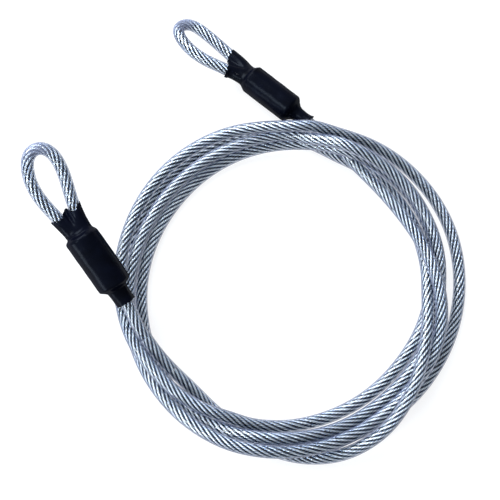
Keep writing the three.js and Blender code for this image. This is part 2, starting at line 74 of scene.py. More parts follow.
# Centre line of the cable on the coil as (x, y, z), every three degrees of the
# coil, from the left sleeve to the top one.
COIL = np.array((
    (-76.96, -57.35, 29.66), (-74.77, -62.18, 27.93), (-72.58, -66.88, 26.1), (-69.94, -71.25, 24.22),
    (-67.02, -75.33, 22.33), (-64.15, -79.3, 20.4), (-61.27, -83.12, 18.51), (-58.27, -86.77, 16.69),
    (-55.13, -90.24, 14.97), (-51.86, -93.53, 13.38), (-48.52, -96.7, 11.91), (-45.16, -99.78, 10.59),
    (-41.84, -102.83, 9.4), (-38.56, -105.91, 8.36), (-35.31, -109.04, 7.45), (-32.05, -112.21, 6.66),
    (-28.73, -115.4, 6), (-25.28, -118.54, 5.43), (-21.69, -121.61, 4.96), (-17.94, -124.61, 4.57),
    (-14.03, -127.56, 4.25), (-9.93, -130.44, 3.99), (-5.61, -133.17, 3.81), (-1.1, -135.82, 3.7),
    (3.46, -138.59, 3.7), (8.08, -141.37, 3.7), (12.86, -143.87, 3.7), (17.88, -145.79, 3.7),
    (23.12, -147.18, 3.75), (28.51, -148.19, 4.02), (34.02, -148.8, 4.51), (39.58, -148.95, 5.22),
    (45.15, -148.67, 6.09), (50.67, -147.97, 7.08), (56.08, -146.76, 8.18), (61.33, -145.04, 9.37),
    (66.37, -142.82, 10.65), (71.19, -140.19, 11.97), (75.77, -137.21, 13.33), (80.09, -133.91, 14.66),
    (84.07, -130.24, 15.88), (87.73, -126.24, 16.93), (91.09, -122, 17.77), (94.17, -117.55, 18.38),
    (96.98, -112.94, 18.78), (99.54, -108.22, 19.03), (101.81, -103.4, 19.16), (103.79, -98.47, 19.13),
    (105.49, -93.46, 18.92), (107.01, -88.44, 18.56), (108.38, -83.44, 18.08), (109.64, -78.45, 17.5),
    (110.74, -73.47, 16.88), (111.62, -68.49, 16.26), (112.23, -63.5, 15.64), (112.66, -58.52, 14.99),
    (113.04, -53.55, 14.23), (113.39, -48.59, 13.41), (113.73, -43.6, 12.51), (114.06, -38.6, 11.58),
    (114.34, -33.59, 10.66), (114.31, -28.57, 9.77), (113.97, -23.55, 8.94), (113.35, -18.55, 8.19),
    (112.47, -13.57, 7.52), (111.38, -8.62, 6.91), (110.09, -3.7, 6.36), (108.54, 1.16, 5.86),
    (106.69, 5.91, 5.42), (104.55, 10.55, 5.05), (102.14, 15.04, 4.75), (99.43, 19.35, 4.5),
    (96.45, 23.48, 4.3), (93.21, 27.4, 4.13), (89.74, 31.13, 4), (86.06, 34.65, 3.9),
    (82.19, 37.97, 3.82), (78.13, 41.05, 3.76), (73.88, 43.9, 3.72), (69.44, 46.5, 3.7),
    (64.83, 48.88, 3.7), (60.15, 51.15, 3.7), (55.59, 53.61, 3.7), (50.99, 56.11, 3.7),
    (46.28, 58.56, 3.7), (41.4, 60.91, 3.7), (36.34, 63.11, 3.7), (31.08, 65.04, 3.7),
    (25.59, 66.57, 3.7), (19.93, 67.73, 3.7), (14.15, 68.49, 3.7), (8.31, 68.76, 3.7),
    (2.46, 68.48, 3.7), (-3.35, 67.67, 3.7), (-9.07, 66.35, 3.7), (-14.68, 64.55, 3.7),
    (-20.15, 62.33, 3.7), (-25.48, 59.75, 3.7), (-30.65, 56.87, 3.7), (-35.66, 53.71, 3.7),
    (-40.49, 50.28, 3.7), (-45.14, 46.59, 3.7), (-49.58, 42.64, 3.7), (-53.78, 38.45, 3.7),
    (-57.73, 34.02, 3.7), (-61.41, 29.37, 3.7), (-64.8, 24.51, 3.7), (-67.9, 19.46, 3.7),
    (-70.7, 14.26, 3.7), (-73.21, 8.93, 3.7), (-75.43, 3.49, 3.7), (-77.35, -2.04, 3.7),
    (-78.99, -7.65, 3.7), (-80.32, -13.32, 3.7), (-81.35, -19.03, 3.7), (-82.09, -24.76, 3.7),
    (-82.53, -30.51, 3.7), (-82.71, -36.24, 3.7), (-82.62, -41.95, 3.7), (-82.3, -47.64, 3.7),
    (-81.73, -53.28, 3.7), (-80.89, -58.88, 3.7), (-79.78, -64.42, 3.7), (-78.4, -69.89, 3.7),
    (-76.76, -75.27, 3.7), (-74.86, -80.56, 3.7), (-72.71, -85.73, 3.7), (-70.26, -90.75, 3.7),
    (-67.53, -95.6, 3.7), (-64.51, -100.26, 3.7), (-61.23, -104.71, 3.7), (-57.69, -108.94, 3.7),
    (-53.93, -112.94, 3.7), (-49.95, -116.69, 3.7), (-45.76, -120.19, 3.74), (-41.38, -123.43, 3.84),
    (-36.85, -126.41, 4.01), (-32.19, -129.17, 4.3), (-27.42, -131.7, 4.78), (-22.57, -133.98, 5.5),
    (-17.65, -136.01, 6.46), (-12.7, -137.82, 7.64), (-7.75, -139.42, 8.94), (-2.78, -140.78, 10.18),
    (2.25, -141.82, 11.17), (7.36, -142.49, 11.73), (12.51, -142.85, 11.81), (17.67, -142.95, 11.48),
    (22.83, -142.84, 10.91), (27.99, -142.54, 10.18), (33.14, -142.05, 9.36), (38.29, -141.39, 8.52),
    (43.42, -140.53, 7.7), (48.54, -139.44, 6.94), (53.62, -138.11, 6.25), (58.66, -136.55, 5.64),
    (63.65, -134.78, 5.11), (68.59, -132.79, 4.65), (73.47, -130.59, 4.26), (78.28, -128.21, 3.96),
    (83.02, -125.62, 3.77), (87.66, -122.81, 3.7), (92.16, -119.73, 3.7), (96.5, -116.37, 3.7),
    (100.69, -112.75, 3.7), (104.71, -108.89, 3.7), (108.51, -104.79, 3.7), (112.12, -100.47, 3.7),
    (115.54, -95.96, 3.7), (118.76, -91.26, 3.7), (121.78, -86.38, 3.7), (124.56, -81.32, 3.7),
    (127.09, -76.09, 3.7), (129.36, -70.71, 3.7), (131.36, -65.18, 3.7), (133.08, -59.53, 3.7),
    (134.51, -53.76, 3.7), (135.64, -47.9, 3.7), (136.46, -41.95, 3.7), (136.95, -35.94, 3.7),
    (137.11, -29.89, 3.72), (136.92, -23.82, 3.74), (136.38, -17.75, 3.78), (135.48, -11.72, 3.83),
    (134.2, -5.74, 3.91), (132.53, 0.13, 4.03), (130.47, 5.88, 4.19), (128.05, 11.48, 4.4),
    (125.28, 16.9, 4.66), (122.17, 22.11, 5.01), (118.73, 27.1, 5.43), (114.98, 31.83, 5.94),
    (110.95, 36.3, 6.56), (106.66, 40.48, 7.29), (102.12, 44.36, 8.14), (97.33, 47.91, 9.11),
    (92.32, 51.11, 10.22), (87.1, 53.92, 11.45), (81.69, 56.32, 12.82), (76.12, 58.29, 14.31),
    (70.43, 59.87, 15.9), (64.7, 61.18, 17.58), (58.96, 62.34, 19.31), (53.26, 63.51, 21.02),
    (47.6, 64.76, 22.58), (41.89, 65.72, 23.87), (36.1, 65.99, 24.5), (30.33, 65.96, 24.38),
    (24.6, 66.02, 23.71), (18.89, 66.23, 22.73), (13.13, 66.49, 21.61), (7.34, 66.65, 20.44),
    (1.5, 66.58, 19.28), (-4.37, 66.19, 18.16), (-10.22, 65.41, 17.12), (-16.02, 64.18, 16.16),
    (-21.74, 62.5, 15.3), (-27.33, 60.39, 14.54), (-32.79, 57.88, 13.89), (-38.09, 54.99, 13.33),
    (-43.21, 51.73, 12.88), (-48.11, 48.12, 12.52), (-52.77, 44.17, 12.26), (-57.18, 39.9, 12.1),
    (-61.3, 35.34, 12.02), (-65.13, 30.5, 12.03), (-68.63, 25.42, 12.13), (-71.82, 20.12, 12.31),
    (-74.68, 14.63, 12.57), (-77.21, 8.98, 12.9), (-79.41, 3.2, 13.32), (-81.29, -2.68, 13.8),
    (-82.84, -8.64, 14.35), (-84.08, -14.66, 14.95), (-84.97, -20.72, 15.6), (-85.5, -26.8, 16.27),
    (-85.65, -32.87, 16.97), (-85.44, -38.9, 17.66), (-84.89, -44.85, 18.31), (-84.01, -50.7, 18.89),
    (-82.81, -56.43, 19.36), (-81.3, -62.01, 19.72), (-79.48, -67.44, 19.98), (-77.36, -72.69, 20.14),
    (-74.91, -77.72, 20.2), (-72.06, -82.45, 20.14), (-68.89, -86.89, 19.97), (-65.53, -91.09, 19.74),
    (-62.06, -95.08, 19.47), (-58.51, -98.9, 19.2), (-54.87, -102.54, 18.94), (-51.12, -105.97, 18.7),
    (-47.22, -109.16, 18.49), (-43.17, -112.07, 18.29), (-38.98, -114.7, 18.11), (-34.72, -117.05, 17.91),
    (-30.38, -119.11, 17.66), (-25.98, -120.85, 17.29), (-21.53, -122.35, 16.66), (-17.08, -123.67, 15.76),
    (-12.64, -124.98, 14.63), (-8.27, -126.4, 13.42), (-3.89, -127.72, 12.25), (0.57, -128.64, 11.13),
    (5.08, -129.21, 10.09), (9.62, -129.52, 9.13), (14.15, -129.64, 8.27), (18.67, -129.57, 7.49),
    (23.17, -129.27, 6.8), (27.65, -128.72, 6.21), (32.08, -127.96, 5.69), (36.45, -127, 5.26),
    (40.77, -125.88, 4.9), (45.02, -124.59, 4.61), (49.22, -123.15, 4.37), (53.34, -121.54, 4.18),
    (57.4, -119.76, 4.04), (61.37, -117.82, 3.93), (65.26, -115.72, 3.85), (69.06, -113.44, 3.79),
    (72.76, -110.99, 3.75), (76.35, -108.36, 3.73), (79.83, -105.58, 3.71), (83.22, -102.66, 3.7),
    (86.49, -99.59, 3.7), (89.64, -96.35, 3.7), (92.69, -92.96, 3.7), (95.65, -89.45, 3.7),
    (98.51, -85.8, 3.7), (101.26, -82.01, 3.7), (103.88, -78.1, 3.7), (106.35, -74.04, 3.7),
    (108.62, -69.84, 3.7), (110.67, -65.49, 3.7), (112.51, -61, 3.7), (114.16, -56.39, 3.7),
    (115.64, -51.65, 3.7), (116.95, -46.79, 3.7), (118.11, -41.83, 3.7), (119.14, -36.76, 3.7),
    (120, -31.61, 3.78), (120.58, -26.39, 3.93), (120.82, -21.11, 4.14), (120.7, -15.79, 4.42),
    (120.16, -10.49, 4.77), (119.19, -5.25, 5.21), (117.81, -0.09, 5.73), (116.02, 4.94, 6.34),
    (113.86, 9.82, 7.04), (111.3, 14.49, 7.82), (108.38, 18.95, 8.7), (105.14, 23.18, 9.67),
    (101.61, 27.16, 10.75), (97.82, 30.87, 11.92), (93.79, 34.32, 13.18), (89.53, 37.47, 14.5),
    (85.06, 40.33, 15.85), (80.41, 42.88, 17.17), (75.59, 45.16, 18.38), (70.65, 47.19, 19.35),
    (65.61, 48.99, 19.89), (60.53, 50.73, 19.57), (55.63, 52.65, 18.25), (50.82, 54.59, 16.34),
    (45.95, 56.29, 14.22), (40.94, 57.59, 12.24), (35.76, 58.46, 10.64), (30.48, 58.95, 9.46),
    (25.22, 59.17, 8.46), (19.99, 59.09, 7.64), (14.8, 58.69, 6.92), (9.65, 57.98, 6.3),
    (4.56, 56.98, 5.76), (-0.47, 55.68, 5.29), (-5.42, 54.09, 4.9), (-10.26, 52.21, 4.58),
    (-15, 50.05, 4.33), (-19.6, 47.63, 4.14), (-24.07, 44.96, 3.99), (-28.39, 42.06, 3.89),
    (-32.54, 38.93, 3.81), (-36.53, 35.59, 3.76), (-40.32, 32.04, 3.73), (-43.92, 28.3, 3.71),
    (-47.33, 24.39, 3.7), (-50.57, 20.34, 3.7), (-53.62, 16.16, 3.7), (-56.49, 11.86, 3.7),
    (-59.15, 7.43, 3.7), (-61.61, 2.88, 3.7), (-63.85, -1.79, 3.7), (-65.87, -6.55, 3.7),
    (-67.66, -11.42, 3.7), (-69.2, -16.36, 3.7), (-70.49, -21.39, 3.7), (-71.51, -26.47, 3.71),
    (-72.26, -31.61, 3.74), (-72.74, -36.78, 3.78), (-72.95, -41.97, 3.84), (-72.9, -47.17, 3.94),
    (-72.6, -52.37, 4.07), (-72.05, -57.55, 4.26), (-71.26, -62.72, 4.5), (-70.21, -67.84, 4.8),
    (-68.88, -72.91, 5.17), (-67.25, -77.89, 5.61), (-65.33, -82.77, 6.09), (-63.17, -87.54, 6.61),
    (-60.76, -92.18, 7.13), (-58.12, -96.68, 7.65), (-55.23, -101.01, 8.15), (-52.13, -105.15, 8.62),
    (-48.8, -109.1, 9.05), (-45.27, -112.85, 9.47), (-41.55, -116.39, 9.9), (-37.65, -119.72, 10.36),
    (-33.6, -122.86, 10.89), (-29.41, -125.8, 11.5), (-25.08, -128.48, 12.25), (-20.58, -130.78, 13.13),
    (-15.92, -132.62, 14.11), (-11.15, -134.02, 15.13), (-6.33, -135.06, 16.09), (-1.49, -135.88, 16.91),
    (3.34, -136.51, 17.53), (8.17, -136.98, 17.88), (12.99, -137.28, 17.92), (17.81, -137.39, 17.63),
    (22.62, -137.28, 17.09), (27.43, -136.94, 16.34), (32.22, -136.35, 15.44), (37, -135.55, 14.43),
    (41.76, -134.53, 13.37), (46.48, -133.29, 12.3), (51.16, -131.82, 11.25), (55.76, -130.1, 10.24),
    (60.28, -128.13, 9.3), (64.69, -125.92, 8.45), (69, -123.5, 7.69), (73.2, -120.9, 7.04),
    (77.27, -118.11, 6.51), (81.21, -115.14, 6.1), (85.01, -112.01, 5.84), (88.67, -108.72, 5.71),
    (92.18, -105.29, 5.71), (95.55, -101.74, 5.85), (98.76, -98.05, 6.11), (101.82, -94.23, 6.46),
    (104.7, -90.26, 6.89), (107.41, -86.16, 7.36), (109.95, -81.91, 7.83), (112.29, -77.52, 8.26),
    (114.42, -72.99, 8.68), (116.28, -68.32, 9.08), (117.89, -63.53, 9.45), (119.25, -58.65, 9.83),
    (120.36, -53.68, 10.2), (121.24, -48.63, 10.55), (121.91, -43.5, 10.88), (122.39, -38.29, 11.2),
    (122.68, -33.01, 11.53), (122.78, -27.68, 11.86), (122.54, -22.34, 12.2), (121.91, -17.03, 12.56),
    (120.89, -11.78, 12.96), (119.51, -6.62, 13.41), (117.77, -1.57, 13.93), (115.74, 3.36, 14.53),
    (113.43, 8.17, 15.23), (110.88, 12.86, 16.02), (108.06, 17.38, 16.93), (104.94, 21.7, 17.93),
    (101.51, 25.77, 19.05), (97.78, 29.57, 20.25), (93.8, 33.1, 21.54), (89.58, 36.35, 22.88),
    (85.16, 39.33, 24.24), (80.57, 42.05, 25.55), (75.85, 44.55, 26.74), (71.01, 46.89, 27.67),
    (66.07, 49.15, 28.14), (61.07, 51.34, 27.91), (56.04, 53.4, 26.9), (50.98, 55.2, 25.2),
    (45.84, 56.66, 23.11), (40.64, 58.06, 20.93), (35.44, 59.77, 19.03), (30.19, 61.31, 17.48),
    (24.83, 62.3, 16.26), (19.4, 62.66, 15.24), (13.96, 62.48, 14.38), (8.54, 61.86, 13.63),
    (3.17, 60.88, 12.98), (-2.15, 59.59, 12.42), (-7.39, 58.02, 11.92), (-12.55, 56.19, 11.48),
    (-17.6, 54.08, 11.09), (-22.54, 51.69, 10.76), (-27.35, 49.03, 10.47), (-32, 46.09, 10.23),
    (-36.49, 42.9, 10.03), (-40.8, 39.47, 9.88), (-44.93, 35.81, 9.76), (-48.87, 31.93, 9.69),
    (-52.61, 27.85, 9.65), (-56.12, 23.56, 9.64), (-59.4, 19.09, 9.68), (-62.45, 14.45, 9.74),
    (-65.29, 9.68, 9.84), (-67.93, 4.78, 9.96), (-70.36, -0.23, 10.11), (-72.55, -5.36, 10.29),
    (-74.47, -10.6, 10.48), (-76.1, -15.95, 10.68), (-77.45, -21.37, 10.89), (-78.52, -26.86, 11.09),
    (-79.29, -32.39, 11.29), (-79.79, -37.95, 11.45), (-80, -43.51, 11.57), (-79.94, -49.07, 11.67),
    (-79.61, -54.62, 11.75), (-79, -60.13, 11.81), (-78.09, -65.6, 11.86), (-76.89, -71, 11.89),
    (-75.41, -76.32, 11.91), (-73.63, -81.54, 11.93), (-71.56, -86.66, 11.99), (-69.2, -91.64, 12.12),
    (-66.56, -96.49, 12.32), (-63.66, -101.17, 12.57), (-60.52, -105.68, 12.88), (-57.15, -110.01, 13.24),
    (-53.58, -114.17, 13.66), (-49.8, -118.12, 14.15), (-45.82, -121.85, 14.71), (-41.64, -125.33, 15.34),
    (-37.27, -128.54, 16.02), (-32.76, -131.51, 16.75), (-28.13, -134.24, 17.5), (-23.4, -136.72, 18.23),
    (-18.55, -138.9, 18.86), (-13.57, -140.72, 19.35), (-8.5, -142.2, 19.7), (-3.38, -143.37, 19.92),
    (1.78, -144.28, 20), (6.94, -144.94, 19.94), (12.12, -145.35, 19.74), (17.3, -145.5, 19.42),
    (22.49, -145.39, 18.99), (27.67, -145.01, 18.46), (32.82, -144.34, 17.85), (37.94, -143.4, 17.19),
    (43.01, -142.22, 16.49), (48.03, -140.78, 15.78), (52.98, -139.09, 15.08), (57.84, -137.15, 14.39),
    (62.6, -134.97, 13.74), (67.24, -132.56, 13.13), (71.75, -129.9, 12.58), (76.13, -127.02, 12.08),
    (80.41, -124, 11.66), (84.6, -120.84, 11.32), (88.68, -117.55, 11.04), (92.63, -114.1, 10.84),
    (96.43, -110.47, 10.75), (100.06, -106.67, 10.79), (103.54, -102.75, 10.98), (106.82, -98.67, 11.34),
    (109.85, -94.42, 11.88), (112.57, -89.99, 12.58), (114.96, -85.4, 13.42), (116.97, -80.65, 14.34),
    (118.57, -75.75, 15.3), (119.74, -70.74, 16.23), (120.51, -65.63, 17.06), (120.92, -60.48, 17.78),
    (121, -55.31, 18.35), (120.77, -50.14, 18.75), (120.24, -44.98, 18.95), (119.43, -39.85, 18.9),
    (118.4, -34.76, 18.57), (117.12, -29.73, 18.06), (115.59, -24.81, 17.45), (113.86, -19.99, 16.78),
    (111.97, -15.29, 16.07), (109.91, -10.71, 15.37), (107.69, -6.26, 14.7), (105.32, -1.94, 14.08),
    (102.82, 2.26, 13.52), (100.23, 6.36, 13.03), (97.54, 10.37, 12.62), (94.76, 14.28, 12.29),
    (91.87, 18.12, 12.03), (88.89, 21.89, 11.86), (85.8, 25.6, 11.75), (82.61, 29.28, 11.7),
    (79.3, 32.93, 11.69), (75.89, 36.58, 11.72), (72.39, 40.28, 11.75), (68.85, 44.13, 11.75),
    (65.3, 48.21, 11.66), (61.67, 52.55, 11.47), (57.64, 56.93, 11.08), (53.19, 61.29, 10.81),
    (48.44, 65.8, 10.56), (43.24, 70.22, 10.4),
))

# Centre line of the cable round each eye as (along, across) from the sleeve's
# tip. Both eyes start with the same leg.
FIRST_LEG = (
    (0, 0), (1.5, 0), (3, 0), (4.5, 0.02), (5.99, 0.13), (7.48, 0.37),
    (8.94, 0.7), (10.37, 1.14), (11.78, 1.67), (13.15, 2.28), (14.54, 2.84), (15.96, 3.31),
    (17.42, 3.68), (18.89, 3.95), (20.38, 4.11), (21.88, 4.15), (23.38, 4.15), (24.88, 4.15),
    (26.38, 4.15), (27.88, 4.15), (29.38, 4.15), (30.88, 4.15), (32.38, 4.15), (33.88, 4.15),
    (35.38, 4.15), (36.88, 4.15), (38.38, 4.15), (39.88, 4.15), (41.38, 4.15), (42.88, 4.15),
    (44.38, 4.15),
)
LEFT_LOOP = (
    (45.88, 4.14), (47.38, 4.14), (48.88, 4.16), (50.38, 4.2), (51.88, 4.26),
    (53.38, 4.34), (54.87, 4.45), (56.37, 4.57), (57.86, 4.72), (59.35, 4.9), (60.84, 5.11),
    (62.32, 5.35), (63.79, 5.61), (65.26, 5.91), (66.73, 6.23), (68.19, 6.58), (69.64, 6.96),
    (71.08, 7.35), (72.53, 7.77), (73.96, 8.21), (75.39, 8.65), (76.82, 9.1), (78.26, 9.55),
    (79.69, 9.99), (81.13, 10.43), (82.57, 10.84), (84.01, 11.24), (85.47, 11.61), (86.93, 11.96),
    (88.39, 12.27), (89.87, 12.54), (91.35, 12.76), (92.84, 12.93), (94.34, 13.05), (95.84, 13.09),
    (97.34, 13.05), (98.83, 12.92), (100.31, 12.66), (101.75, 12.25), (103.13, 11.66), (104.41, 10.88),
    (105.54, 9.9), (106.48, 8.74), (107.19, 7.42), (107.62, 5.98), (107.75, 4.49), (107.57, 3),
    (107.1, 1.58), (106.37, 0.27), (105.45, -0.91), (104.38, -1.96), (103.21, -2.9), (101.97, -3.74),
    (100.67, -4.49), (99.34, -5.18), (97.97, -5.79), (96.57, -6.34), (95.15, -6.83), (93.72, -7.25),
    (92.26, -7.61), (90.79, -7.91), (89.31, -8.15), (87.82, -8.33), (86.33, -8.45), (84.83, -8.52),
    (83.33, -8.54), (81.83, -8.51), (80.33, -8.43), (78.83, -8.32), (77.34, -8.18), (75.85, -8),
    (74.36, -7.8), (72.88, -7.58), (71.4, -7.34), (69.92, -7.08), (68.44, -6.82), (66.97, -6.56),
    (65.49, -6.29), (64.01, -6.03), (62.54, -5.78), (61.06, -5.53), (59.58, -5.29), (58.09, -5.07),
    (56.61, -4.86), (55.12, -4.67), (53.63, -4.51), (52.14, -4.36), (50.64, -4.24), (49.14, -4.15),
    (47.64, -4.09), (46.15, -4.12), (44.65, -4.15), (43.15, -4.15), (41.65, -4.15), (40.15, -4.15),
    (38.65, -4.15), (37.15, -4.15), (35.65, -4.15), (34.15, -4.15), (32.65, -4.15), (31.15, -4.15),
    (29.65, -4.15), (28.15, -4.15), (26.65, -4.15), (25.15, -4.15), (23.65, -4.15), (22.65, -4.15),
)
TOP_LOOP = (
    (45.88, 4.15), (47.38, 4.16), (48.88, 4.19), (50.38, 4.22), (51.88, 4.27),
    (53.38, 4.32), (54.88, 4.38), (56.38, 4.45), (57.87, 4.53), (59.37, 4.62), (60.87, 4.71),
    (62.36, 4.81), (63.86, 4.92), (65.36, 5.04), (66.85, 5.16), (68.35, 5.29), (69.84, 5.42),
    (71.33, 5.56), (72.83, 5.7), (74.32, 5.85), (75.81, 5.99), (77.31, 6.14), (78.8, 6.29),
    (80.29, 6.44), (81.78, 6.59), (83.28, 6.73), (84.77, 6.86), (86.26, 6.99), (87.76, 7.12),
    (89.26, 7.23), (90.75, 7.33), (92.25, 7.42), (93.75, 7.5), (95.25, 7.57), (96.75, 7.61),
    (98.24, 7.64), (99.74, 7.65), (101.24, 7.61), (102.74, 7.53), (104.23, 7.38), (105.72, 7.14),
    (107.17, 6.78), (108.58, 6.26), (109.88, 5.53), (111.03, 4.57), (111.96, 3.4), (112.65, 2.07),
    (113.08, 0.63), (113.23, -0.86), (113.09, -2.35), (112.63, -3.77), (111.88, -5.07), (110.91, -6.21),
    (109.78, -7.2), (108.55, -8.06), (107.26, -8.82), (105.91, -9.48), (104.53, -10.06), (103.12, -10.58),
    (101.69, -11.03), (100.25, -11.43), (98.79, -11.78), (97.32, -12.06), (95.83, -12.3), (94.34, -12.48),
    (92.85, -12.59), (91.35, -12.65), (89.85, -12.64), (88.35, -12.58), (86.86, -12.45), (85.37, -12.27),
    (83.89, -12.04), (82.41, -11.76), (80.95, -11.44), (79.49, -11.09), (78.04, -10.7), (76.6, -10.29),
    (75.16, -9.86), (73.73, -9.42), (72.3, -8.97), (70.86, -8.52), (69.43, -8.07), (68, -7.63),
    (66.56, -7.21), (65.12, -6.79), (63.67, -6.4), (62.22, -6.03), (60.76, -5.69), (59.29, -5.38),
    (57.82, -5.1), (56.34, -4.85), (54.85, -4.63), (53.36, -4.46), (51.87, -4.31), (50.37, -4.2),
    (48.88, -4.13), (47.38, -4.1), (45.88, -4.13), (44.38, -4.15), (42.88, -4.15), (41.38, -4.15),
    (39.88, -4.15), (38.38, -4.15), (36.88, -4.15), (35.38, -4.15), (33.88, -4.15), (32.38, -4.15),
    (30.88, -4.15), (29.38, -4.15), (27.88, -4.15), (26.38, -4.15), (24.88, -4.15), (23.38, -4.15),
    (22.88, -4.15),
)

# Outlines of the sleeves. right, left and height are rows of (distance from the
# tip, offset from the middle); cut is rows of (cosine round the ring, how far
# the torn mouth stands out). The swelling over the ferrule runs from tip_to to
# shoulder, and foot slants the cut at the tip.
LEFT_SLEEVE = dict(
    seed=1, start=0.0, tip_to=10.5, shoulder=49.0, mouth=64.4, foot=-1.1,
    right=(
        (0, 6.3), (5, 6.25), (9.3, 6.45), (10.2, 7.8), (11.3, 10.3), (12.2, 10.9), (25, 11.0),
        (40, 10.6), (47.2, 10.25), (48.6, 9.7), (50, 8.7), (51.5, 8.55), (54, 8.75), (58, 9.15),
        (62, 9.9), (64.4, 10.6),
    ),
    left=(
        (0, -6.2), (5, -6.4), (9.4, -6.9), (10.6, -8.0), (12.2, -10.2), (12.9, -10.6), (25, -10.9),
        (40, -11.25), (48, -11.5), (49, -11.2), (50.4, -9.1), (51.2, -8.85), (54, -9.1),
        (58, -9.95), (62, -10.8), (64.4, -11.3),
    ),
    height=(
        (0, 6.2), (9.2, 6.35), (10.3, 7.8), (11.8, 10.2), (12.6, 10.5), (30, 10.7), (47.6, 10.7),
        (49, 9.8), (50.5, 7.4), (53, 6.3), (58, 5.5), (64.4, 4.9),
    ),
    cut=(
        (-1.0, 0.9), (-0.9, 0.0), (-0.65, -1.1), (-0.42, -0.4), (-0.26, -0.9), (-0.2, 1.9),
        (0.05, 3.3), (0.22, 3.1), (0.27, -0.6), (0.5, -0.5), (0.75, 0.6), (0.92, 1.8), (1.0, 2.6),
    ),
)
TOP_NECK = ((-1, 5.8), (0.4, 5.0), (4, 4.62), (8, 4.75), (10, 5.5), (12, 7.2), (13.4, 8.9))
TOP_SLEEVE = dict(
    seed=2, start=-1.0, tip_to=12.5, shoulder=50.2, mouth=68.4, foot=-0.7,
    right=TOP_NECK + (
        (14.5, 9.85), (15.5, 9.95), (49.1, 10.15), (50.3, 9.6), (51.5, 8.9), (53.5, 8.75),
        (57, 9.0), (60, 9.6), (64, 10.2), (68.4, 10.3),
    ),
    left=tuple((s, -width) for s, width in TOP_NECK) + (
        (14.5, -9.75), (15.5, -9.9), (49.1, -10.0), (50.3, -9.5), (51.5, -8.9), (53.5, -8.8),
        (56, -9.2), (60, -9.9), (64, -11.0), (68.4, -12.3),
    ),
    height=TOP_NECK + (
        (14.5, 9.8), (15.5, 9.95), (49.1, 10.0), (50.4, 8.8), (52.0, 6.4), (54, 5.4), (58, 4.9),
        (68.4, 4.6),
    ),
    cut=(
        (-1.0, -4.4), (-0.8, -3.5), (-0.4, -1.7), (-0.1, 0.4), (0.15, 2.9), (0.4, 3.9),
        (0.65, 4.6), (1.0, 5.0),
    ),
)


def unit(v):
    return v / np.linalg.norm(v, axis=-1, keepdims=True)


class End:
    """One end of the cable: its sleeve's tip and axes, and the path round its eye."""

    def __init__(self, tip, along, across, loop):
        self.tip, self.along, self.across = (np.array(v, float) for v in (tip, along, across))
        self.down = unit(np.cross(self.along, self.across))
        self.path = np.array(FIRST_LEG + loop)

    def points(self):
        return self.tip + self.path[:, :1] * self.along + self.path[:, 1:] * self.across

    def legs(self, s):
        """Where the two legs of the eye are across the sleeve at distances s from its tip."""
        far = int(np.argmax(self.path[:, 0]))
        back = self.path[far:][::-1]
        one = np.interp(s, self.path[:far, 0], self.path[:far, 1])
        two = np.interp(s, back[:, 0], back[:, 1])
        return one, np.where(s < back[0, 0], -one, two)


LEFT = End(
    tip=(-79.237, -53.835, 31.195), along=(-0.531294, 0.77508, 0.34202),
    across=(0.821414, 0.570108, -0.015986), loop=LEFT_LOOP,
)
TOP = End(
    tip=(37.605, 74.933, 10.396), along=(-0.770306, 0.637675, 0.0),
    across=(0.591751, 0.71483, -0.372625), loop=TOP_LOOP,
)


# ---- one smooth centre line through the whole cable --------------------------
def lengths(points):
    return np.r_[0, np.cumsum(np.linalg.norm(np.diff(points, axis=0), axis=1))]


def smooth_line(points):
    """A cubic through the points, evenly spaced and then smoothed."""
    knots = lengths(points)
    slope = np.gradient(points, knots, axis=0)
    fine = np.arange(0, knots[-1], LINE_STEP / 2)
    k = np.clip(np.searchsorted(knots, fine, side="right") - 1, 0, len(knots) - 2)
    span = (knots[k + 1] - knots[k])[:, None]
    u = (fine[:, None] - knots[k][:, None]) / span
    curve = (
        (2 * u**3 - 3 * u**2 + 1) * points[k]
        + (u**3 - 2 * u**2 + u) * span * slope[k]
        + (3 * u**2 - 2 * u**3) * points[k + 1]
        + (u**3 - u**2) * span * slope[k + 1]
    )
    run = lengths(curve)
    even = np.arange(0, run[-1], LINE_STEP)
    line = np.stack([np.interp(even, run, curve[:, i]) for i in range(3)], axis=1)
    offsets = np.arange(-BLUR_REACH, BLUR_REACH + 1) * LINE_STEP / LINE_BLUR
    kernel = np.exp(-0.5 * offsets**2)
    kernel /= kernel.sum()
    before = 2 * line[0] - line[BLUR_REACH:0:-1]
    after = 2 * line[-1] - line[-2:-2 - BLUR_REACH:-1]
    padded = np.vstack([before, line, after])
    return np.stack([np.convolve(padded[:, i], kernel, "valid") for i in range(3)], axis=1)


LINE = smooth_line(np.vstack([LEFT.points()[::-1], COIL, TOP.points()]))
TANGENT = unit(np.gradient(LINE, axis=0))
ARC = np.arange(len(LINE)) * LINE_STEP
CURVE = np.linalg.norm(np.gradient(TANGENT, axis=0), axis=1) / LINE_STEP
BROAD_CURVE = np.convolve(CURVE, np.ones(41) / 41, "same")
UP = np.array([0, 0, 1.0])
RISE = unit(UP - (TANGENT @ UP)[:, None] * TANGENT)
SIDE = np.cross(RISE, TANGENT)


def at(distance):
    """Centre, side and rise of the cable at distances along it."""
    def pick(values):
        return np.stack([np.interp(distance, ARC, values[:, i]) for i in range(3)], axis=-1)

    return pick(LINE), unit(pick(SIDE)), unit(pick(RISE))


joints = {j["name"]: np.array(j["pos_m"]) * 1000 for j in frame["joints"]}


def arc_of(joint):
    """Distance along the cable of the point nearest a joint."""
    return float(ARC[np.argmin(np.linalg.norm(LINE - joints[joint], axis=1))])


SWING_AT = arc_of("left_swing")
LIFT_AT = arc_of("left_lift")
TOP_AT = arc_of("top_swing")
LEFT_TO = (SWING_AT + LIFT_AT) / 2
LINK_TO = LIFT_AT + 16.0
COIL_TO = TOP_AT - 20.0

